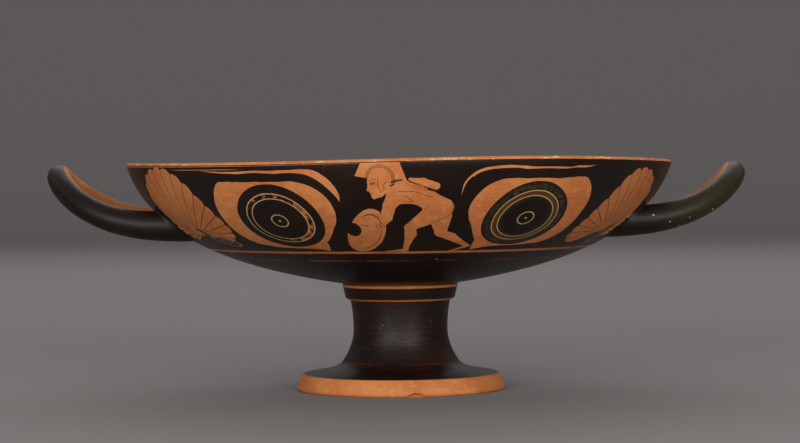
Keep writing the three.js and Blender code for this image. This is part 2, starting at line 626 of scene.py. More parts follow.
def makeGlossGroup():
    # the wheel leaves streaks, and thin gloss fires brown, red or olive
    tree, given, out = startGroup(
        "blackGloss", {"Point": "vector", "Streaks": "value", "Thin": "value", "Olive": "value"},
        {"Color": "color", "Roughness": "value", "Height": "value"},
    )
    point = given["Point"]
    wheel = vectors(tree, "MULTIPLY", point, (0.02, 0.02, 1.3))
    broad = noise(tree, point, 0.028, 3, 0.6)
    streak = noise(tree, wheel, 0.8, 4, 0.65, 0.3)
    fine = noise(tree, wheel, 3.1, 3, 0.7)
    thin = times(tree, ranged(tree, streak, 0.5, 0.72), given["Streaks"])
    hair = times(tree, ranged(tree, fine, 0.56, 0.7), given["Streaks"])
    color = mixColor(tree, ranged(tree, broad, 0.45, 0.75, 0, 0.45), gloss["black"], gloss["brown"])
    color = mixColor(tree, thin, color, gloss["brown"])
    color = mixColor(tree, times(tree, hair, 0.6), color, gloss["redBrown"])
    color = mixColor(tree, given["Thin"], color, gloss["brown"])
    color = mixColor(tree, given["Olive"], color, gloss["olive"])
    feed(tree, out["Color"], color)
    speckle = noise(tree, point, 0.9, 4, 0.7)
    rough = ranged(tree, speckle, 0.3, 0.7, gloss["roughness"] - 0.07, gloss["roughness"] + 0.09)
    feed(tree, out["Roughness"], rough)
    feed(tree, out["Height"], plus(tree, speckle, times(tree, fine, 0.8)))
    return tree


def makeWearGroup():
    # hair scratches in a few patches, and white specks
    tree, given, out = startGroup(
        "handling", {"Point": "vector", "Specks": "value"}, {"Scratch": "value", "Speck": "value"},
    )
    point = given["Point"]
    bent = vectors(tree, "ADD", point, vectors(tree, "SCALE", noiseColor(tree, point, 0.03), 46.0))
    cells = addNode(tree, "TexVoronoi", feature="DISTANCE_TO_EDGE")
    feed(tree, cells.inputs["Vector"], vectors(tree, "MULTIPLY", bent, (0.017, 0.017, 0.009)))
    feed(tree, cells.inputs["Scale"], 1.0)
    line = ranged(tree, cells.outputs["Distance"], 0.006, 0.002)
    patch = ranged(tree, noise(tree, point, 0.05, 3), 0.52, 0.66)
    feed(tree, out["Scratch"], times(tree, line, patch))
    strayed = vectors(tree, "ADD", point, vectors(tree, "SCALE", noiseColor(tree, point, 0.8), 1.6))
    dots = addNode(tree, "TexVoronoi", feature="F1")
    feed(tree, dots.inputs["Vector"], strayed)
    feed(tree, dots.inputs["Scale"], 0.2)
    luck = pieces(tree, dots.outputs["Color"])
    chosen = maths(tree, "LESS_THAN", luck[0], given["Specks"])
    size = times(tree, luck[1], 0.11)
    dot = ranged(tree, minus(tree, dots.outputs["Distance"], size), 0.02, -0.02)
    feed(tree, out["Speck"], times(tree, chosen, dot))
    return tree


clayGroup = makeClayGroup()
glossGroup = makeGlossGroup()
wearGroup = makeWearGroup()
print("fired surfaces are mixed")


# the painter's tools

def wallSpot(azimuth, height):
    # reach of the bowl's outside at that height, and how steep it stands there, for a motif's own axes
    line = wallLine(0)
    for low, high in zip(line, line[1:]):
        if high.z >= height:
            break
    share = (height - low.z) / (high.z - low.z)
    reach = low.x + (high.x - low.x) * share
    slope = math.atan2(high.z - low.z, high.x - low.x)
    angle = math.radians(azimuth)
    place = (reach * math.sin(angle), -reach * math.cos(angle), height)
    return place, (math.pi - slope, 0, angle)


def motifAxes(tree, point, azimuth, height, flip=1):
    # millimetres to the right along the wall, up the wall, and out of it
    place, turned = wallSpot(azimuth, height)
    node = addNode(tree, "Mapping", vector_type="TEXTURE")
    feed(tree, node.inputs["Vector"], point)
    feed(tree, node.inputs["Location"], place)
    feed(tree, node.inputs["Rotation"], turned)
    feed(tree, node.inputs["Scale"], (flip * mm, mm, mm))
    return node.outputs[0]


def outline(tree, turnShare, points, corners=()):
    # radius of a freehand outline by its angle in degrees, read from a turn of 0 to 1
    node = addNode(tree, "FloatCurve")
    curve = node.mapping.curves[0]
    largest = 60
    spots = [(angle / 360, radius / largest) for angle, radius in points]
    curve.points[0].location = spots[0]
    curve.points[1].location = spots[-1]
    for spot in spots[1:-1]:
        curve.points.new(*spot)
    for made in curve.points:
        sharp = any(abs(made.location[0] * 360 - corner) < 0.5 for corner in corners)
        made.handle_type = "VECTOR" if sharp else "AUTO"
    node.mapping.update()
    feed(tree, node.inputs["Factor"], 1.0)
    feed(tree, node.inputs["Value"], turnShare)
    return times(tree, node.outputs[0], largest)


def sidedOutline(tree, turnShare, right, motif, part):
    # the left one's outline where right is 0, the right one's where it is 1
    both = []
    for side in ("left", "right"):
        corners = motif.get(side + part + "Corners", ())
        both.append(outline(tree, turnShare, motif[side + part], corners))
    return mixValue(tree, right, *both)


def makeLimbGroup():
    # distance to a bar that runs from one end to the other and may taper
    tree, given, out = startGroup(
        "limb",
        {"Point": "vector", "Start": "vector", "End": "vector", "StartRadius": "value", "EndRadius": "value"},
        {"Distance": "value"},
    )
    reach = vectors(tree, "SUBTRACT", given["Point"], given["Start"])
    along = vectors(tree, "SUBTRACT", given["End"], given["Start"])
    length = vectors(tree, "DOT_PRODUCT", along, along)
    share = maths(tree, "DIVIDE", vectors(tree, "DOT_PRODUCT", reach, along), length, clamp=True)
    gap = vectors(tree, "DISTANCE", reach, vectors(tree, "SCALE", along, share))
    radius = mixValue(tree, share, given["StartRadius"], given["EndRadius"])
    feed(tree, out["Distance"], minus(tree, gap, radius))
    return tree


limbGroup = makeLimbGroup()


def limb(tree, point, start, end, startRadius, endRadius):
    values = {
        "Point": point, "Start": (*start, 0), "End": (*end, 0),
        "StartRadius": startRadius, "EndRadius": endRadius,
    }
    return useGroup(tree, limbGroup, values)["Distance"]


def oval(tree, point, centre, halves, turned=0):
    # rough distance to an ellipse, good near its edge
    node = addNode(tree, "Mapping", vector_type="TEXTURE")
    feed(tree, node.inputs["Vector"], point)
    feed(tree, node.inputs["Location"], (*centre, 0))
    feed(tree, node.inputs["Rotation"], (0, 0, math.radians(turned)))
    feed(tree, node.inputs["Scale"], (*halves, 1))
    size = vectors(tree, "LENGTH", node.outputs[0])
    return times(tree, minus(tree, size, 1.0), min(halves))


# the eyes, seen from the middle of the iris; angles turn from the outer side up and over

eyes = {
    "height": 102.4 * mm,
    "leftAzimuth": -27.5,
    "rightAzimuth": 29.3,
    "iris": 25.4,
    "rings": [(19.6, 0.32), (16.3, 0.30), (4.8, 0.34)],     # compass radius, half width
    "pupil": 0.7,
    "bandHem": (1.3, 0.3),       # the band's edges: from its middle, and half their width
    "outerHaze": (22.4, 1.6, 1.4),                          # compass radius, half width, softness
    "innerHaze": (14.6, 0.4, 1.8),
    "leftShape": [
        (0, 38.5), (20, 40), (35, 40), (42, 37), (54, 31.8), (71, 27.7), (98, 26.6), (125, 31.2),
        (140, 34), (156, 35.7), (169, 35), (185, 32.7), (202, 29.5), (227, 28.4), (242, 35.4), (251, 30),
        (271, 27), (302, 30.4), (325, 36.2), (345, 37.6), (360, 38.5),
    ],
    "leftShapeCorners": (227, 242),
    "rightShape": [
        (0, 37.3), (10, 39.2), (22, 40.9), (35, 40.5), (43, 37.4), (54, 32.3), (70, 28), (98, 26.9),
        (121, 30.6), (133, 34), (146, 36.6), (159, 37.4), (171, 36.7), (183, 34), (200, 30.3), (223, 30),
        (238, 36.8), (252, 28.2), (270, 26), (295, 28.5), (314, 33.2), (331, 35.5), (348, 36.3),
        (360, 37.3),
    ],
    "rightShapeCorners": (223, 238),
    "leftBrowTop": [
        (32, 53.5), (44, 43.4), (55, 38), (66, 34.9), (80, 33.1), (94, 32.6), (106, 33.8), (118, 36.5),
        (127, 39.8), (140, 43.5), (152, 43.9), (166, 40.2),
    ],
    "leftBrowLow": [
        (32, 53.5), (43, 43), (54, 37), (65, 33.6), (80, 31.7), (99, 31.1), (110, 32.7), (121, 35.4),
        (135, 38.6), (148, 39.8), (160, 40.4), (166, 40.2),
    ],
    "rightBrowTop": [
        (39, 48.3), (52, 40.6), (69, 34.8), (93, 32.9), (110, 35.4), (122, 38.9), (132, 42.5),
        (140, 45.8), (147, 47.7), (154, 48.1), (160, 46.6), (166, 44),
    ],
    "rightBrowLow": [
        (39, 48.3), (54, 38.4), (76, 32.6), (99, 32), (117, 35.6), (129, 39.5), (138, 43.2), (146, 45.9),
        (153, 47), (160, 45.9), (166, 44),
    ],
    "wornBand": (0.46, 0.125, 0.035, 1),
    "brownBand": (0.085, 0.031, 0.006, 1),
    "olive": (0.070, 0.046, 0.016, 1),
    "bluish": (0.055, 0.062, 0.068, 1),
    "line": (0.50, 0.33, 0.14, 1),
}


def makeEyeGroup():
    tree, given, out = startGroup(
        "cupEye", {"Point": "vector", "Right": "value"},
        {"Clay": "value", "Lines": "value", "Band": "value", "Worn": "value", "Haze": "value"},
    )
    point, right = given["Point"], given["Right"]
    across, up, _ = pieces(tree, point)
    flat = vectors(tree, "LENGTH", compose(tree, across, up, 0.0))
    turnShare = maths(tree, "FRACT", maths(tree, "DIVIDE", maths(tree, "ARCTAN2", up, across), math.tau))
    edge, top, low = [
        sidedOutline(tree, turnShare, right, eyes, part) for part in ("Shape", "BrowTop", "BrowLow")
    ]
    eye = inside(tree, minus(tree, flat, edge))
    depth = maths(tree, "MINIMUM", minus(tree, top, flat), minus(tree, flat, low))
    brow = ranged(tree, depth, 0.02, 0.2)
    far = vectors(tree, "LENGTH", point)
    iris = inside(tree, minus(tree, far, eyes["iris"]))
    clayMask = maths(tree, "MAXIMUM", times(tree, eye, minus(tree, 1.0, iris)), brow)
    lines = inside(tree, minus(tree, far, eyes["pupil"]), 0.3)
    for radius, halfWidth in eyes["rings"]:
        lines = highest(tree, lines, band(tree, far, radius, halfWidth))
    outer, inner = eyes["rings"][0][0], eyes["rings"][1][0]
    middle = (outer + inner) / 2
    between = band(tree, far, middle, (outer - inner) / 2 - 0.25, 0.12)
    feed(tree, out["Clay"], clayMask)
    feed(tree, out["Lines"], lines)
    feed(tree, out["Band"], between)
    # the left band has worn through to the clay, most of all on the side of the nose
    towardsNose = times(tree, maths(tree, "DIVIDE", across, eyes["iris"]), -0.13)
    patches = plus(tree, noise(tree, point, 0.3, 5, 0.7), towardsNose)
    edges = band(tree, absolute(tree, minus(tree, far, middle)), *eyes["bandHem"], 0.12)
    worn = times(tree, ranged(tree, patches, 0.55, 0.62), between)
    hem = times(tree, edges, ranged(tree, patches, 0.46, 0.56), 0.6)
    feed(tree, out["Worn"], highest(tree, worn, hem))
    # the black round the rings fired unevenly
    outerHaze, innerHaze = [band(tree, far, *eyes[name]) for name in ("outerHaze", "innerHaze")]
    haze = highest(tree, outerHaze, times(tree, innerHaze, 0.7))
    uneven = ranged(tree, noise(tree, point, 0.5, 5, 0.75), 0.4, 0.6)
    feed(tree, out["Haze"], times(tree, haze, uneven))
    return tree


# the palmettes beside the handles, seen from their hearts

palmettes = {
    "height": 95 * mm,
    "leftAzimuth": -58.9,
    "rightAzimuth": 60.6,
    "leftShape": [         # angle counted from straight down, over the outer side
        (0, 3), (52, 5), (66, 22), (94, 22.7), (117, 27.5), (130, 35), (143, 39.6), (156, 42.6),
        (180, 44.8), (196, 45.2), (215, 43.4), (228, 40.4), (240, 38.4), (251, 36.6), (265, 34.8),
        (283, 30), (294, 24), (303, 4), (360, 3),
    ],
    "rightShape": [
        (0, 3), (52, 5), (66, 22), (94, 23), (117, 27), (130, 33), (143, 38), (160, 41.5), (182, 42.4),
        (196, 42.2), (207, 40), (217, 37.4), (228, 34.6), (241, 32.6), (254, 30.2), (268, 29.8),
        (283, 29), (300, 26), (312, 22), (320, 4), (360, 3),
    ],
    "leftStart": 74.5,       # angle of one gap between two leaves, and the turn from leaf to leaf
    "leftTurn": 12.2,
    "rightStart": 82.5,
    "rightTurn": 13.5,
    "tipRound": 2.1,
    "lineHalf": 0.24,
    "lineFoot": 8.5,         # the lines between the leaves stop this far from the heart
    "leftHeart": ((-4.2, 0.8), (5.4, 1.7), 49),          # centre, half lengths, turn
    "leftBud": ((-15.5, -9.6), (8.6, 3.5), 27),
    "rightScroll": [
        ((8.6, -5), (4.2, 1.9), 66), ((9.8, -11.4), (4.0, 2.1), 88), ((7.6, -17.6), (4.0, 2.0), 112),
        ((2.6, -22.6), (4.4, 1.9), 132), ((5.4, -8.6), (5.2, 1.6), 40),
    ],
    "scrollHalf": 0.26,
    "rightShade": ((5.5, -9), (15, 4.6), 70),
}


def makePalmetteGroup():
    tree, given, out = startGroup(
        "palmette", {"Point": "vector", "Right": "value"},
        {"Clay": "value", "Dark": "value", "Scroll": "value", "Streak": "value"},
    )
    point, right = given["Point"], given["Right"]
    across, up, _ = pieces(tree, point)
    flatPoint = compose(tree, across, up, 0.0)
    flat = vectors(tree, "LENGTH", flatPoint)
    degrees = maths(tree, "DEGREES", maths(tree, "ARCTAN2", up, across))
    turnShare = maths(tree, "FRACT", maths(tree, "DIVIDE", plus(tree, degrees, 90.0), 360.0))
    edge = sidedOutline(tree, turnShare, right, palmettes, "Shape")
    step = mixValue(tree, right, palmettes["leftTurn"], palmettes["rightTurn"])
    start = mixValue(tree, right, palmettes["leftStart"], palmettes["rightStart"])
    shifted = minus(tree, times(tree, turnShare, 360.0), plus(tree, start, 90.0))
    leaf = minus(tree, maths(tree, "FRACT", maths(tree, "DIVIDE", shifted, step)), 0.5)
    curled = maths(tree, "POWER", absolute(tree, leaf), 2.4)
    bulge = times(tree, curled, 4 * palmettes["tipRound"])
    tip = minus(tree, edge, minus(tree, bulge, 0.5))
    leaves = inside(tree, minus(tree, flat, tip))
    # thin lines part the leaves and fade towards the heart
    toGap = minus(tree, 0.5, absolute(tree, leaf))
    gapWide = times(tree, times(tree, toGap, step), maths(tree, "RADIANS", flat))
    gaps = inside(tree, minus(tree, gapWide, palmettes["lineHalf"]))
    fade = ranged(tree, flat, palmettes["lineFoot"] - 3, palmettes["lineFoot"])
    gaps = times(tree, gaps, fade, leaves)
    onLeft = minus(tree, 1.0, right)
    heart = inside(tree, oval(tree, flatPoint, *palmettes["leftHeart"]), 0.3)
    bud = oval(tree, flatPoint, *palmettes["leftBud"])
    budBlack = inside(tree, bud, 0.2)
    dark = highest(tree, heart, budBlack)
    scroll = stroke(tree, minus(tree, bud, 0.6), 0.5)
    scroll = highest(tree, scroll, stroke(tree, plus(tree, bud, 1.9), 0.3))
    scroll = times(tree, scroll, onLeft)
    loops = 0.0
    for spec in palmettes["rightScroll"]:
        loops = highest(tree, stroke(tree, oval(tree, flatPoint, *spec), palmettes["scrollHalf"]), loops)
    shade = inside(tree, oval(tree, flatPoint, *palmettes["rightShade"]), 1.2)
    feed(tree, out["Clay"], leaves)
    sideDark = mixValue(tree, right, dark, times(tree, shade, 0.8))
    gaps = times(tree, gaps, minus(tree, 1.0, budBlack))
    feed(tree, out["Dark"], highest(tree, gaps, sideDark))
    feed(tree, out["Scroll"], highest(tree, scroll, times(tree, loops, right)))
    # the wash was brushed along the leaves
    brushed = compose(tree, times(tree, degrees, 0.5), times(tree, flat, 0.03), 0.0)
    hair = noise(tree, brushed, 1.0, 4, 0.7)
    feed(tree, out["Streak"], ranged(tree, hair, 0.3, 0.72))
    return tree


# the warrior stoops to pick up a helmet; places are millimetres on the wall, from the middle of side A

warrior = {
    "azimuth": 0.86,
    "height": 105 * mm,
    "blend": 1.6,
    "limbs": {                 # places and half widths along each limb
        "torso": [(-1.5, 15, 6.9), (7, 13, 4.9), (13.5, 10, 5.8), (19.4, 3.6, 7.8)],
        "neck": [(-3, 17, 4.8), (-8.5, 18.2, 3)],
        "arm": [(-4.6, 12, 5.1), (-7.3, 7.4, 3.6), (-8.4, 2, 3.2), (-8.7, -2.6, 2.7), (-9.5, -7.2, 0.8)],
        "frontThigh": [(17, 1, 7), (3.9, -9.6, 3.3)],
        "frontShin": [(3.8, -10.8, 3.1), (4.1, -16.5, 3.2), (2.4, -25, 1.8), (1.6, -31, 1.5)],
        "frontFoot": [(1.3, -33.2, 1.7), (-9, -34.7, 0.5)],
        "backThigh": [(20, -3, 6.2), (20.2, -15.4, 3.3)],
        "backShin": [(20.4, -16.8, 3.2), (25.3, -20.5, 3.2), (35, -32.4, 1.3)],
        "backFoot": [(34.9, -33.1, 1.3), (25, -37.2, 0.5)],
    },
    "dome": (-12.5, 23.2, 7.1),
    "headTurn": 9,             # the face is laid out upright and then bowed
    "headPlace": (-12.5, 20.8),
    "head": [
        [(-4.4, 3, 2.2), (-6.2, -1.4, 0.7), (-7.2, -3.3, 0.45)],
        [(-6.9, -3.5, 0.5), (-4.6, -3.4, 1.6)],
        [(-5.6, -4.7, 0.75), (-3.8, -4.8, 1.4)],
        [(-5.2, -6.1, 0.7), (-4.3, -7.7, 1.3), (-1, -6.4, 1.8), (2.4, -3, 2.6)],
    ],
    "skull": ((-0.4, 0.6), (6.3, 7), 0),
    "crestLeft": ((-26, 24.1), (-0.911, 0.412)),         # a place on each edge, and the way out of it
    "crestRight": ((1.4, 23.8), (0.928, 0.372)),
    "crestFoot": ((-26, 24.1), (-0.09, -0.996)),
    "tail": [(0, 21.4, 1.8), (12.5, 17.4, 0.6)],
    "cloak": [(3.4, 23.4, 0.8), (10.5, 21.5, 2.1), (17.4, 18.6, 2.1)],
    "heldHelmet": ((-19.6, -15.8), (9.9, 20.4), -9.6),
    "heldOpening": ((-26.6, -13.4), (4.1, 6), 10),
    "earBoss": (-12.2, -9.4),
    "bossRing": (2.1, 0.16),             # radius and half width
    "bossDot": 0.7,
    "rimLine": (-2.1, 0.2),              # inside the held helmet's edge
    "holderHalf": 0.65,                  # the crest's holder, a band along the dome's edge
    "holderTicks": 34,                   # in a whole turn
    "holderFoot": 22.6,
    "strokes": [               # places along each relief line, and its half width
        ([(3, 21.7), (11.4, 18.2)], 0.13), ([(1.6, 21), (9.6, 17.6)], 0.12),
        ([(0.6, 20.2), (7, 17.6)], 0.1), ([(11, 18.5), (15, 16.6), (19.2, 15.4)], 0.3),
        ([(-5.4, 22.7), (-1, 22.9)], 0.5), ([(-6.8, 19.6), (-5.2, 20.8)], 0.5),
        ([(-2.9, 16.3), (5.1, 16.1), (9, 14.6), (15.2, 11.8)], 0.15),
        ([(0.9, 13.3), (3.7, 11.7), (4.6, 9.9), (2.4, 9)], 0.17),
        ([(26.2, 7.2), (26.8, 3), (26.2, -0.2), (23.5, -2.8), (20.1, -4.4), (15.2, -7.2)], 0.17),
        ([(11.2, 3.8), (13.4, 6.2)], 0.15), ([(-22.6, -8.4), (-18.8, -9.6)], 0.28),
        ([(-22.8, -18.8), (-19.8, -20.8)], 0.2), ([(-24.4, -22), (-21.8, -25.6)], 0.14),
    ],
    "faceStrokes": [
        ([(-5.5, 1.9), (-3.8, 2.7), (-2, 2.3)], 0.16), ([(-5.9, -5.5), (-4.3, -5.3)], 0.13),
        ([(-0.6, 2.8), (-1.4, -1), (-0.6, -5.4), (1.6, -4), (1.8, -1.2), (3.4, 0.6)], 0.17),
    ],
    "eyeMark": ((-4, 0.5), (1.15, 0.55), 6),
}


def makeWarriorGroup():
    tree, given, out = startGroup("warrior", {"Point": "vector"}, {"Clay": "value", "Dark": "value"})
    flatPoint = vectors(tree, "MULTIPLY", given["Point"], (1, 1, 0))
    across, up, _ = pieces(tree, flatPoint)

    def join(first, second, blend):
        return second if first is None else maths(tree, "SMOOTH_MIN", first, second, blend)

    def bars(point, places, shape=None, blend=0.3):
        # a chain of tapering bars
        for (x, y, radius), (nextX, nextY, nextRadius) in zip(places, places[1:]):
            shape = join(shape, limb(tree, point, (x, y), (nextX, nextY), radius, nextRadius), blend)
        return shape

    def drawn(point, strokes, ink):
        for places, half in strokes:
            line = bars(point, [(*place, half) for place in places], None, 0.05)
            ink = highest(tree, inside(tree, line, 0.1), ink)
        return ink

    def beyond(edge):
        (x, y), way = edge
        return vectors(tree, "DOT_PRODUCT", vectors(tree, "SUBTRACT", flatPoint, (x, y, 0)), (*way, 0))

    body = None
    for places in warrior["limbs"].values():
        body = bars(flatPoint, places, body, warrior["blend"])
    turned = addNode(tree, "Mapping", vector_type="TEXTURE")
    feed(tree, turned.inputs["Vector"], flatPoint)
    feed(tree, turned.inputs["Location"], (*warrior["headPlace"], 0))
    feed(tree, turned.inputs["Rotation"], (0, 0, math.radians(warrior["headTurn"])))
    facePoint = turned.outputs[0]
    head = oval(tree, facePoint, *warrior["skull"])
    for places in warrior["head"]:
        head = bars(facePoint, places, head, 0.5)
    x, y, domeRadius = warrior["dome"]
    toDome = vectors(tree, "SUBTRACT", flatPoint, (x, y, 0))
    fromDome = minus(tree, vectors(tree, "LENGTH", toDome), domeRadius)
    head = maths(tree, "MINIMUM", head, highest(tree, fromDome, minus(tree, y, up)))
    crest = highest(tree, *[beyond(warrior[name]) for name in ("crestLeft", "crestRight", "crestFoot")])
    crest = bars(flatPoint, warrior["tail"], crest, 0.8)
    cloak = bars(flatPoint, warrior["cloak"], None, 1.0)
    opening = oval(tree, flatPoint, *warrior["heldOpening"])
    heldEdge = oval(tree, flatPoint, *warrior["heldHelmet"])
    held = maths(tree, "MAXIMUM", heldEdge, times(tree, opening, -1.0))
    shape = maths(tree, "SMOOTH_MIN", body, head, 0.3)
    for part in (crest, cloak, held):
        shape = maths(tree, "MINIMUM", shape, part)
    feed(tree, out["Clay"], inside(tree, shape))
    # the crest's holder: two lines with ticks between them, over the dome
    domeX, domeY, _ = pieces(tree, toDome)
    half, foot = warrior["holderHalf"], warrior["holderFoot"]
    turnShare = maths(tree, "DIVIDE", maths(tree, "ARCTAN2", domeY, domeX), math.tau)
    ticked = maths(tree, "FRACT", times(tree, turnShare, float(warrior["holderTicks"])))
    ticks = times(tree, band(tree, ticked, 0.5, 0.16, 0.1), stroke(tree, fromDome, half))
    edges = band(tree, absolute(tree, fromDome), half, 0.13, 0.1)
    holder = times(tree, highest(tree, ticks, edges), ranged(tree, up, foot, foot + 1))
    dark = drawn(facePoint, warrior["faceStrokes"], drawn(flatPoint, warrior["strokes"], holder))
    eye = oval(tree, facePoint, *warrior["eyeMark"])
    dark = highest(tree, dark, stroke(tree, eye, 0.14, 0.1), inside(tree, plus(tree, eye, 0.3), 0.1))
    boss = vectors(tree, "DISTANCE", flatPoint, (*warrior["earBoss"], 0))
    bossRing = band(tree, boss, *warrior["bossRing"], 0.12)
    bossLine = highest(tree, bossRing, inside(tree, minus(tree, boss, warrior["bossDot"])))
    rimSide = ranged(tree, across, -23.5, -20)
    rimLine = times(tree, band(tree, heldEdge, *warrior["rimLine"], 0.12), rimSide)
    clear = ranged(tree, boss, 1.9, 2.2)
    feed(tree, out["Dark"], highest(tree, dark, bossLine, times(tree, rimLine, clear)))
    return tree


eyeGroup = makeEyeGroup()
palmetteGroup = makePalmetteGroup()
warriorGroup = makeWarriorGroup()
print("motifs are drawn")


# finishes

paint = {                        # heights and widths in millimetres
    "lipDepth": 2.05,            # how far down the lip its bare band runs, and how much less on the right
    "lipDrift": 0.4,
    "underLip": (131.2, 0.22),   # a second thin band, which shows between these places on the left only
    "underLipEnds": (-128, -118, -95, -82),
    "ground": (84.2, 0.62),      # height and half width
    "second": (79.2, 0.45),
    "collar": [(61.3, 0.75), (53.4, 0.6)],
    "collarGlow": (63.6, 1.1),
    "stemStreaks": [(29.4, 0.35), (27.6, 0.22), (16.6, 0.4)],
    "footMargin": 57.3,          # the bare edge of the foot begins here on its top
    "disc": 46,                  # the bare disc in the middle of the bowl, with its ring and its dot
    "discRing": (43.5, 0.7),
    "discDot": 8,
    "panel": (27, 92, 112),      # half width, bottom and top of the bare panel between a handle's roots
    "dark": (0.035, 0.011, 0.005, 1),
    "tan": (0.26, 0.15, 0.07, 1),
    "glow": (0.13, 0.048, 0.006, 1),
    "flake": (0.78, 0.52, 0.27, 1),
    "scratch": (0.10, 0.072, 0.05, 1),
    "speck": (0.55, 0.50, 0.42, 1),
}


def startMaterial(name):
    material = bpy.data.materials[name]
    material.use_nodes = True
    tree = material.node_tree
    shader = tree.nodes["Principled BSDF"]
    point = addNode(tree, "TexCoord").outputs["Object"]
    inMm = vectors(tree, "SCALE", point, 1 / mm)
    return tree, shader, point, inMm


def finishMaterial(tree, shader, color, roughness, height, strength=0.5):
    shader.inputs["Specular IOR Level"].default_value = gloss["specular"]
    feed(tree, shader.inputs["Base Color"], color)
    feed(tree, shader.inputs["Roughness"], roughness)
    bump = addNode(tree, "Bump")
    bump.inputs["Strength"].default_value = strength
    bump.inputs["Distance"].default_value = 0.0002
    feed(tree, bump.inputs["Height"], height)
    feed(tree, shader.inputs["Normal"], bump.outputs[0])


def outwards(tree, inMm):
    return vectors(tree, "LENGTH", vectors(tree, "MULTIPLY", inMm, (1, 1, 0)))


def makeWheelGroup():
    # height as it was on the wheel, before the lip dried out of true
    tree, given, out = startGroup("wheelHeight", {"Point": "vector"}, {"Height": "value"})
    x, y, z = pieces(tree, given["Point"])
    base, top = cup["bowlBase"][1] / mm, cup["height"] / mm
    rise = maths(tree, "DIVIDE", minus(tree, z, base), top - base, clamp=True)
    azimuth = maths(tree, "ARCTAN2", y, x)
    lift = 0.0
    for order, size in enumerate(cup["lipWarp"]):
        wave = maths(tree, "COSINE", times(tree, azimuth, float(order)))
        lift = maths(tree, "MULTIPLY_ADD", wave, size / mm, lift)
    feed(tree, out["Height"], minus(tree, z, times(tree, lift, rise, rise)))
    return tree


wheelGroup = makeWheelGroup()


def paintOver(tree, inMm, reserved, streaks, thin=0.0, olive=0.0, specks=0.05):
    # bare clay where the mask is 1, black gloss elsewhere, and wear over both
    bare = useGroup(tree, clayGroup, {"Point": inMm})
    black = useGroup(tree, glossGroup, {"Point": inMm, "Streaks": streaks, "Thin": thin, "Olive": olive})
    wear = useGroup(tree, wearGroup, {"Point": inMm, "Specks": specks})
    scratched = mixColor(tree, times(tree, wear["Scratch"], 0.3), black["Color"], paint["scratch"])
    color = mixColor(tree, reserved, scratched, bare["Color"])
    color = mixColor(tree, times(tree, wear["Speck"], 0.8), color, paint["speck"])
    roughness = mixValue(tree, reserved, black["Roughness"], bare["Roughness"])
    height = mixValue(tree, reserved, times(tree, black["Height"], 0.35), bare["Height"])
    return color, roughness, height


def flaked(tree, inMm, color, mask=1.0):
    # small losses along the lip show the pale clay below the wash
    along = vectors(tree, "MULTIPLY", inMm, (0.16, 0.16, 0.7))
    flakes = ranged(tree, noise(tree, along, 1.0, 4, 0.6), 0.6, 0.65)
    return mixColor(tree, times(tree, flakes, 0.85, mask), color, paint["flake"])


def handDrawn(tree, point):
    # a painter's hand isn't a compass: lines stray by a fifth of a millimetre
    return vectors(tree, "ADD", point, vectors(tree, "SCALE", noiseColor(tree, point, 110.0), 0.5 * mm))


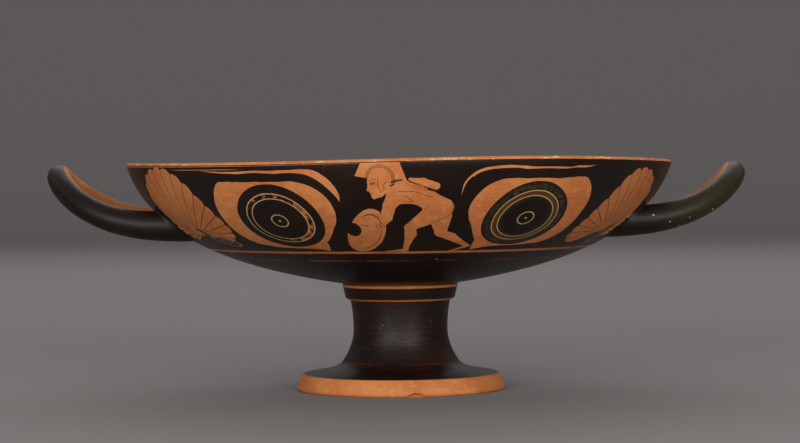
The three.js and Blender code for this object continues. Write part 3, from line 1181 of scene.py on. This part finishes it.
def friezeMaterial(name, front):
    tree, shader, point, inMm = startMaterial(name)
    facing = point if front else vectors(tree, "MULTIPLY", point, (1, -1, 1))
    drawn = handDrawn(tree, facing)
    x, y, z = pieces(tree, vectors(tree, "SCALE", drawn, 1 / mm))
    right = maths(tree, "GREATER_THAN", x, 0.0)
    wheel = useGroup(tree, wheelGroup, {"Point": inMm})["Height"]

    def bothSides(spec):
        leftAxes = motifAxes(tree, drawn, spec["leftAzimuth"], spec["height"], -1)
        return mixVector(tree, right, leftAxes, motifAxes(tree, drawn, spec["rightAzimuth"], spec["height"]))

    eye = useGroup(tree, eyeGroup, {"Point": bothSides(eyes), "Right": right})
    fan = useGroup(tree, palmetteGroup, {"Point": bothSides(palmettes), "Right": right})
    reserved = highest(tree, eye["Clay"], fan["Clay"])
    dark = fan["Dark"]
    middle = motifAxes(tree, drawn, warrior["azimuth"], warrior["height"])
    if front:
        man = useGroup(tree, warriorGroup, {"Point": middle})
        reserved = highest(tree, reserved, man["Clay"])
        dark = maths(tree, "MAXIMUM", dark, man["Dark"])
    else:
        reserved = highest(tree, reserved, ivyLeaf(tree, middle))
    drift = paint["lipDrift"] * mm / cup["rim"]
    lipEdge = maths(tree, "MULTIPLY_ADD", x, drift, cup["height"] / mm - paint["lipDepth"])
    lipMask = inside(tree, minus(tree, lipEdge, wheel), 0.15)
    broken = ranged(tree, noise(tree, inMm, 0.06, 4, 0.7), 0.42, 0.6)
    begins, full, fades, ends = paint["underLipEnds"]
    underLip = times(
        tree, band(tree, wheel, *paint["underLip"]), ranged(tree, x, ends, fades),
        ranged(tree, x, begins, full), 0.7,
    )
    second = times(tree, band(tree, z, *paint["second"], 0.3), broken, 0.3)
    panelHalf, panelLow, panelTop = paint["panel"]
    panel = highest(
        tree, minus(tree, absolute(tree, y), panelHalf),
        minus(tree, panelLow, z), minus(tree, z, panelTop),
    )
    panel = inside(tree, panel, 0.2)
    reserved = highest(tree, reserved, band(tree, z, *paint["ground"]), second, underLip, lipMask, panel)
    streaks = ranged(tree, z, 86.0, 82.0, 0.15, 1.0)
    thin = ranged(tree, absolute(tree, x), 118.0, 158.0, 0, 0.75)
    color, roughness, relief = paintOver(tree, inMm, reserved, streaks, thin)
    streaky = times(tree, fan["Clay"], minus(tree, 1.0, fan["Streak"]), 0.34)
    color = mixColor(tree, streaky, color, clay["dusty"])
    color = mixColor(tree, times(tree, dark, 0.9), color, paint["dark"])
    color = flaked(tree, inMm, color, lipMask)
    color = mixColor(tree, times(tree, eye["Haze"], right, 0.75), color, eyes["olive"])
    blue = ranged(tree, noise(tree, inMm, 1.1, 3, 0.7), 0.56, 0.62)
    color = mixColor(tree, times(tree, eye["Haze"], blue, 0.5), color, eyes["bluish"])
    worn = times(tree, eye["Worn"], minus(tree, 1.0, right))
    color = mixColor(tree, worn, color, eyes["wornBand"])
    color = mixColor(tree, times(tree, eye["Band"], right), color, eyes["brownBand"])
    color = mixColor(tree, times(tree, eye["Lines"], 0.85), color, eyes["line"])
    color = mixColor(tree, times(tree, fan["Scroll"], 0.8), color, paint["tan"])
    finishMaterial(tree, shader, color, roughness, relief)


def ivyLeaf(tree, point):
    # side B has a plain ivy leaf on a stalk between its eyes
    left, right = [oval(tree, point, (side * 5.6, 6), (7.4, 7.4)) for side in (-1, 1)]
    lobes = maths(tree, "SMOOTH_MIN", left, right, 1.5)
    flatPoint = vectors(tree, "MULTIPLY", point, (1, 1, 0))
    tip = limb(tree, flatPoint, (0, 4), (0, -14), 9.5, 0.5)
    stalk = limb(tree, flatPoint, (0, 10), (2.5, 26), 0.8, 0.6)
    leaf = maths(tree, "MINIMUM", maths(tree, "SMOOTH_MIN", lobes, tip, 2.0), stalk)
    return inside(tree, leaf)


def lowerMaterial():
    tree, shader, _, inMm = startMaterial("lowerGloss")
    z = pieces(tree, inMm)[2]
    lines = highest(tree, *[band(tree, z, *spec) for spec in paint["collar"]])
    margin = inside(tree, minus(tree, paint["footMargin"], outwards(tree, inMm)), 0.3)
    onFoot = maths(tree, "LESS_THAN", z, cup["flare"][1] / mm)
    reserved = highest(tree, lines, times(tree, margin, onFoot))
    patchy = ranged(tree, noise(tree, inMm, 0.05, 4, 0.65), 0.46, 0.62)
    red = 0.0
    for level, halfWidth in paint["stemStreaks"]:
        red = highest(tree, band(tree, z, level, halfWidth, 0.5), red)
    color, roughness, relief = paintOver(tree, inMm, reserved, 0.8, specks=0.1)
    color = mixColor(tree, times(tree, red, patchy, 0.8), color, gloss["redBrown"])
    color = mixColor(tree, times(tree, band(tree, z, *paint["collarGlow"], 0.9), 0.8), color, paint["glow"])
    finishMaterial(tree, shader, color, roughness, relief)


def clayMaterial(name):
    tree, shader, _, inMm = startMaterial(name)
    color, roughness, relief = paintOver(tree, inMm, 1.0, 0.0, specks=0.0)
    if name == "lipClay":
        color = flaked(tree, inMm, color)
    finishMaterial(tree, shader, color, roughness, relief, 0.7)


def insideMaterial():
    # a plain bare disc with a ring and a dot, in the middle of the black bowl
    tree, shader, _, inMm = startMaterial("bowlInside")
    reach = outwards(tree, inMm)
    disc, dot = [inside(tree, minus(tree, reach, paint[name])) for name in ("disc", "discDot")]
    marks = highest(tree, band(tree, reach, *paint["discRing"]), dot)
    reserved = maths(tree, "SUBTRACT", disc, marks, clamp=True)
    color, roughness, relief = paintOver(tree, inMm, reserved, 0.5)
    finishMaterial(tree, shader, color, roughness, relief)


def handleMaterial():
    # the inner faces of the loops are left in clay
    tree, shader, _, inMm = startMaterial("handleGloss")
    x, y, _ = pieces(tree, inMm)
    away = compose(tree, minus(tree, absolute(tree, x), handle["loopMiddle"] / mm), y, 0.0)
    inwards = vectors(tree, "NORMALIZE", vectors(tree, "SCALE", away, -1.0))
    nx, ny, nz = pieces(tree, addNode(tree, "NewGeometry").outputs["Normal"])
    folded = compose(tree, times(tree, nx, maths(tree, "SIGN", x)), ny, nz)
    turnedIn = vectors(tree, "DOT_PRODUCT", folded, inwards)
    strayed = plus(tree, turnedIn, times(tree, noise(tree, inMm, 0.1), 0.2))
    reserved = ranged(tree, strayed, 0.44, 0.5)
    olive = ranged(tree, x, 140.0, 175.0, 0, 0.75)
    specks = ranged(tree, x, 120.0, 170.0, 0.05, 0.4)
    color, roughness, relief = paintOver(tree, inMm, reserved, 0.15, 0.0, olive, specks)
    finishMaterial(tree, shader, color, roughness, relief)


friezeMaterial("friezeFront", True)
friezeMaterial("friezeBack", False)
lowerMaterial()
clayMaterial("lipClay")
clayMaterial("footClay")
insideMaterial()
handleMaterial()
print("finishes are on")

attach(paintedCup, "root")
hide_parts("kylix")


# a grey floor that sweeps up far away all round, and soft lights

studio = {
    "floor": (0.27, 0.26, 0.255, 1),
    "flat": 3.2,
    "sweep": 1.6,
    "floorSteps": 96,
    "world": (1.0, 0.97, 0.95, 1),
    "worldStrength": 0.36,
    "lights": [            # place, width and height, watts
        ((-0.95, -2.1, 0.42), (1.6, 1.2), 37),
        ((0.95, -2.1, 0.42), (1.6, 1.2), 35),
        ((0, 1.9, 1.7), (2.4, 1.4), 14),
    ],
    "aim": (0, 0, 0.09),
}


def makeStudio():
    bm = bmesh.new()
    flat, sweep = studio["flat"], studio["sweep"]
    far = flat + sweep
    bend = [(flat, 0, 0), (flat + sweep * 0.6, 0, 0), (far, 0, sweep * 0.4), (far, 0, sweep)]
    drawLine(bm, [(0, 0, 0), *interpolate_bezier(*bend, 16)])
    turn(bm, studio["floorSteps"])
    floor = smoothObject("floor", bm)
    material = bpy.data.materials.new("paper")
    material.use_nodes = True
    shader = material.node_tree.nodes["Principled BSDF"]
    shader.inputs["Base Color"].default_value = studio["floor"]
    shader.inputs["Roughness"].default_value = 0.9
    shader.inputs["Specular IOR Level"].default_value = 0.1
    floor.data.materials.append(material)
    for place, (width, height), watts in studio["lights"]:
        data = bpy.data.lights.new("softbox", "AREA")
        data.shape = "RECTANGLE"
        data.size = width
        data.size_y = height
        data.energy = watts
        lamp = newObject("softbox", data)
        lamp.visible_camera = False
        aim = (Vector(studio["aim"]) - Vector(place)).to_track_quat("-Z", "Y")
        lamp.matrix_world = Matrix.Translation(place) @ aim.to_matrix().to_4x4()
    world = bpy.data.worlds.new("room")
    world.use_nodes = True
    background = world.node_tree.nodes["Background"]
    background.inputs["Color"].default_value = studio["world"]
    background.inputs["Strength"].default_value = studio["worldStrength"]
    scene.world = world
    scene.view_settings.view_transform = "Standard"


makeStudio()
print("studio is lit")
